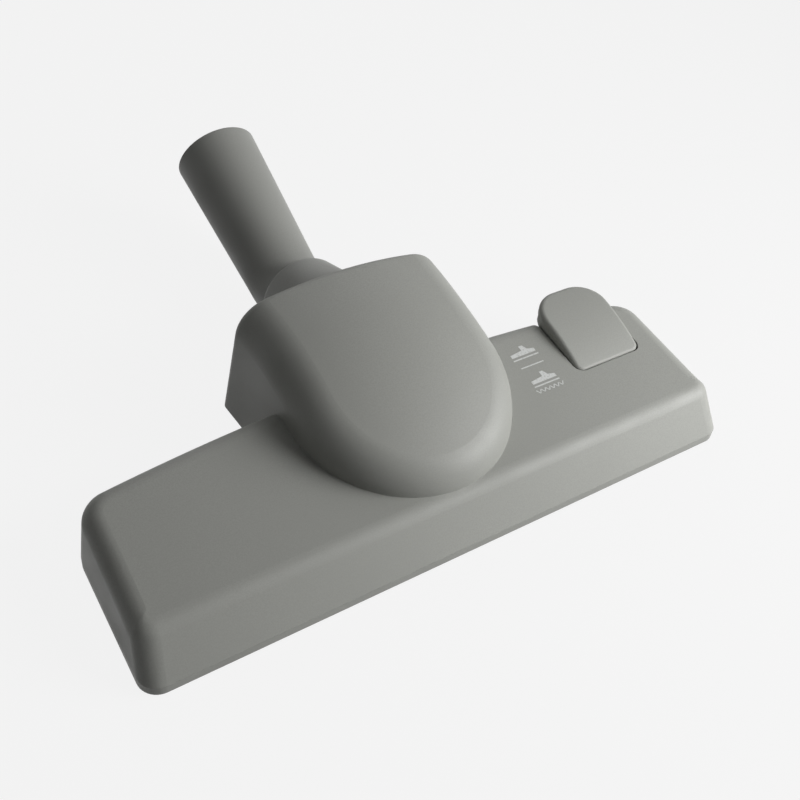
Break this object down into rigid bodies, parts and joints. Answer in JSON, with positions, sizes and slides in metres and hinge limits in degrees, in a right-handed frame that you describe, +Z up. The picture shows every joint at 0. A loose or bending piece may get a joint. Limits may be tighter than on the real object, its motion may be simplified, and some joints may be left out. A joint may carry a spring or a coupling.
{
  "type": "vacuum cleaner floor head",
  "caption": "Wide vacuum-cleaner floor head: domed housing, foot pedal that drops a brush strip, small wheels and a tilting, swivelling elbow for the wand.",
  "frame": {"origin": "on the floor, under the middle of the front sole lip, where the front lint strip lies flush with the lip", "axes": "+X to the right seen from the front (the pedal's side), +Y to the rear towards the tube, +Z up"},
  "size_m": [0.2746, 0.2385, 0.0645],
  "materials": {
    "grey_plastic": "fine-grained mid grey moulding",
    "wheel_plastic": "smooth grey moulding",
    "rubber": "soft black rubber",
    "bristle": "black nylon tufts",
    "velour": "crimson slanted pile",
    "steel": "bright drawn wire",
    "dark_steel": "blackened steel"
  },
  "bodies": {
    "head": {"top_cover": "grey_plastic", "sole_plate": "grey_plastic", "air_duct": "grey_plastic", "duct_seal": "rubber", "front_lint_strip": "velour", "rear_lint_strip": "velour", "pedal_pin": "steel", "lift_spring_left": "steel", "lift_spring_right": "steel", "wheel_axle_left": "steel", "wheel_axle_right": "steel", "bearing_cap_left": "grey_plastic", "bearing_cap_right": "grey_plastic", "housing_screws": "dark_steel"},
    "brush": {"brush_carrier": "grey_plastic", "front_bristles": "bristle", "rear_lip_left": "rubber", "rear_lip_right": "rubber"},
    "pedal": {"foot_pedal": "grey_plastic"},
    "wheel_left": {"wheel_left": "wheel_plastic"},
    "wheel_right": {"wheel_right": "wheel_plastic"},
    "neck": {"neck_collar": "grey_plastic", "collar_ring": "grey_plastic"},
    "elbow": {"elbow_tube": "grey_plastic"}
  },
  "joints": [
    {"name": "pedal_press", "type": "hinge", "parent": "head", "child": "pedal", "pos_m": [0.1, 0.0305, 0.0215], "axis": [-1, 0, 0], "range_deg": [0, 17]},
    {"name": "brush_drop", "type": "slide", "parent": "head", "child": "brush", "axis": [0, 0, -1], "range_m": [0, 0.00622], "deforming": ["lift_spring_left", "lift_spring_right"]},
    {"name": "wheel_left_roll", "type": "hinge", "parent": "head", "child": "wheel_left", "pos_m": [-0.038, 0.079, 0.011], "axis": [1, 0, 0], "continuous": true},
    {"name": "wheel_right_roll", "type": "hinge", "parent": "head", "child": "wheel_right", "pos_m": [0.038, 0.079, 0.011], "axis": [1, 0, 0], "continuous": true},
    {"name": "neck_tilt", "type": "hinge", "parent": "head", "child": "neck", "pos_m": [0, 0.088, 0.031], "axis": [1, 0, 0], "range_deg": [0, 36]},
    {"name": "tube_swivel", "type": "hinge", "parent": "neck", "child": "elbow", "pos_m": [0, 0.088, 0.031], "axis": [0, 0.9703, -0.2419], "continuous": true}
  ],
  "couplings": [
    {"joint": "brush_drop", "follows": "pedal_press", "m_per_rad": 0.020923}
  ]
}
